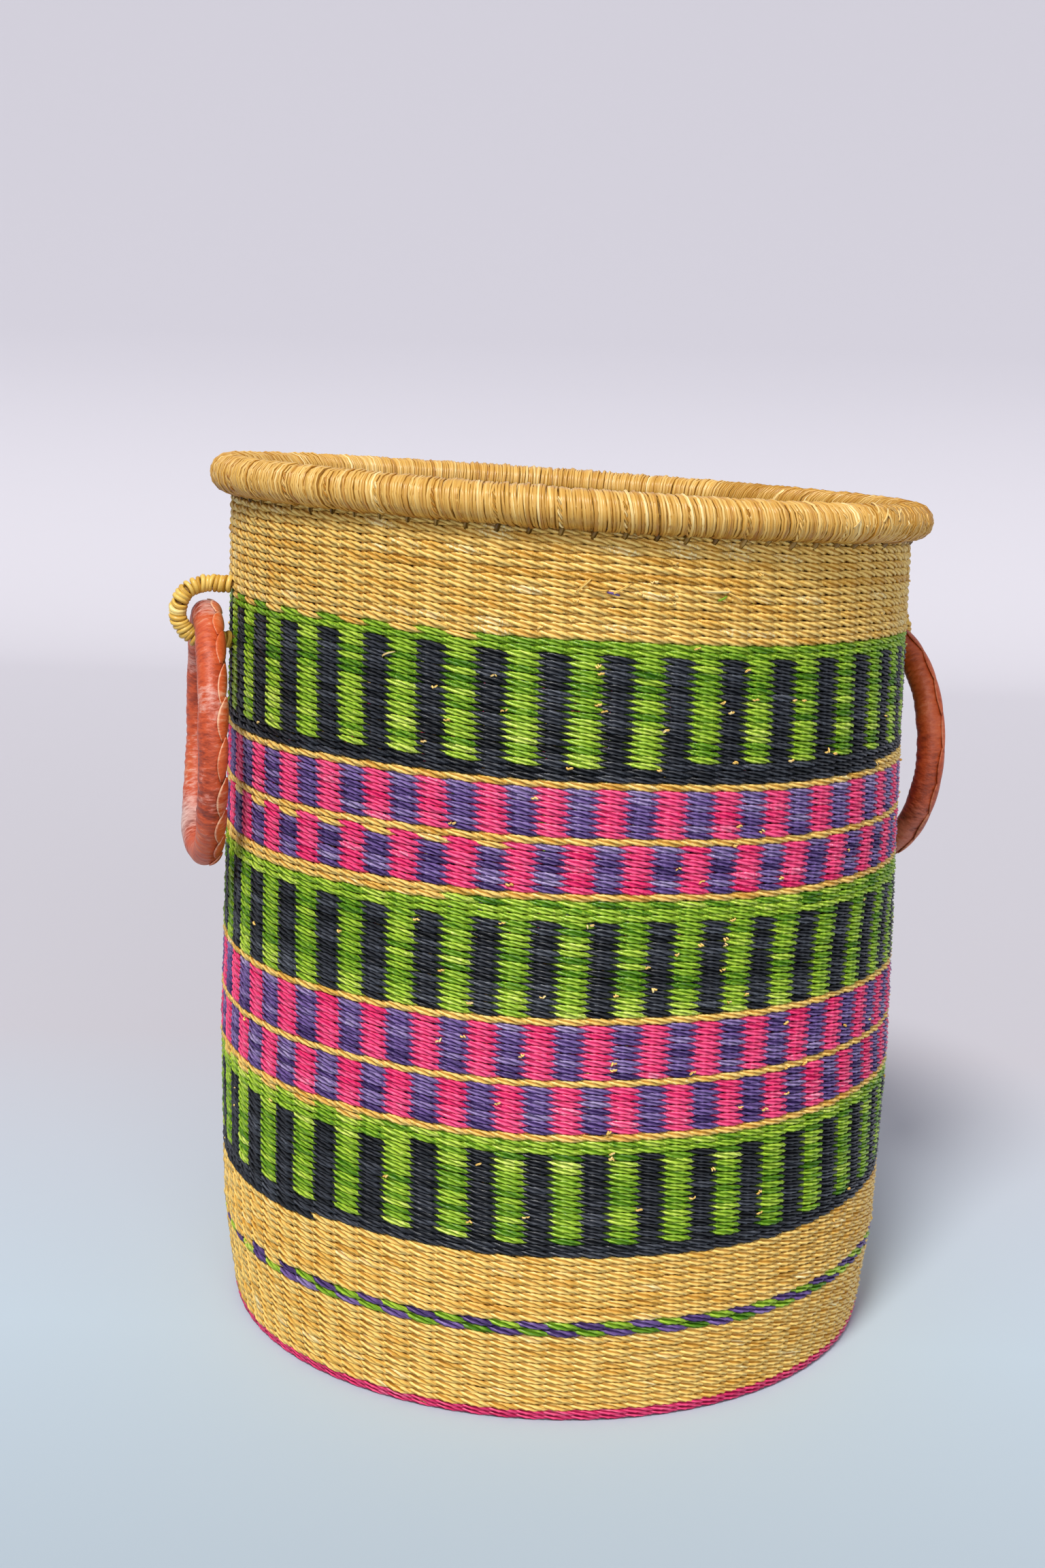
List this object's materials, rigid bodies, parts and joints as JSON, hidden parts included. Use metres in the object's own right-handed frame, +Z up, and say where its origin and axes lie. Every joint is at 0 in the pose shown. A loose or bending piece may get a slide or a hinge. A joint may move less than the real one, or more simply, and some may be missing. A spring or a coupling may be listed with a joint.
{
  "type": "bolga basket",
  "caption": "Tall round hamper basket twined from dyed elephant grass in coloured bands, with a straw-wrapped rim and leather carrying rings hung in side loops.",
  "frame": {"origin": "middle of the underside, on the surface that the basket stands on", "axes": "+Z up through the mouth; -X towards the left handle, and the picture's camera stands on the -Y side"},
  "size_m": [0.5027, 0.4496, 0.5414],
  "materials": {
    "straw_natural": "undyed elephant grass straw, twisted in two plies and twined, satin sheen",
    "straw_green_black": "elephant grass straw dyed green and blue-black, twined in upright stripes",
    "straw_pink_purple": "elephant grass straw dyed pink and purple, twined in upright stripes",
    "straw_green_purple": "elephant grass straw dyed green and purple, twined in slanting pairs",
    "straw_pink": "elephant grass straw dyed deep pink, twined as a rope round the heel",
    "straw_rim": "undyed straw wound closely round a core, satin sheen",
    "straw_stake": "undyed straw stakes, hidden inside the weave",
    "grass_core": "bundle of dry grass",
    "goat_leather": "vegetable-tanned goat leather, orange-red, wrinkled round the ring, rubbed pale in places",
    "leather_lace": "braided thong of the same goat leather"
  },
  "bodies": {
    "basket": {"stakes": "straw_stake", "base_weft": "straw_natural", "floor_weft": "straw_natural", "inner_weft": "straw_natural", "pink_base_edge": "straw_pink", "natural_band_lower_b": "straw_natural", "green_purple_line": "straw_green_purple", "natural_band_lower_a": "straw_natural", "green_black_band_lower": "straw_green_black", "natural_line_6": "straw_natural", "pink_purple_band_4": "straw_pink_purple", "natural_line_5": "straw_natural", "pink_purple_band_3": "straw_pink_purple", "natural_line_4": "straw_natural", "green_black_band_middle": "straw_green_black", "natural_line_3": "straw_natural", "pink_purple_band_2": "straw_pink_purple", "natural_line_2": "straw_natural", "pink_purple_band_1": "straw_pink_purple", "natural_line_1": "straw_natural", "green_black_band_upper": "straw_green_black", "natural_band_top": "straw_natural", "rim_core": "grass_core", "rim_wrap": "straw_rim", "left_loop_core": "grass_core", "left_loop_winding": "straw_rim", "right_loop_core": "grass_core", "right_loop_winding": "straw_rim"},
    "left_ring": {"left_ring_core": "grass_core", "left_ring_leather": "goat_leather", "left_ring_lace": "leather_lace"},
    "right_ring": {"right_ring_core": "grass_core", "right_ring_leather": "goat_leather", "right_ring_lace": "leather_lace"}
  },
  "joints": [
    {"name": "left_ring_swing", "type": "hinge", "parent": "basket", "child": "left_ring", "pos_m": [-0.22934, 0, 0.44462], "axis": [0.048, 0.9988, 0], "range_deg": [-1.2, 172]},
    {"name": "right_ring_swing", "type": "hinge", "parent": "basket", "child": "right_ring", "pos_m": [0.22885, 0.01757, 0.43222], "axis": [0.2026, -0.9793, 0], "range_deg": [-1.2, 172]}
  ]
}
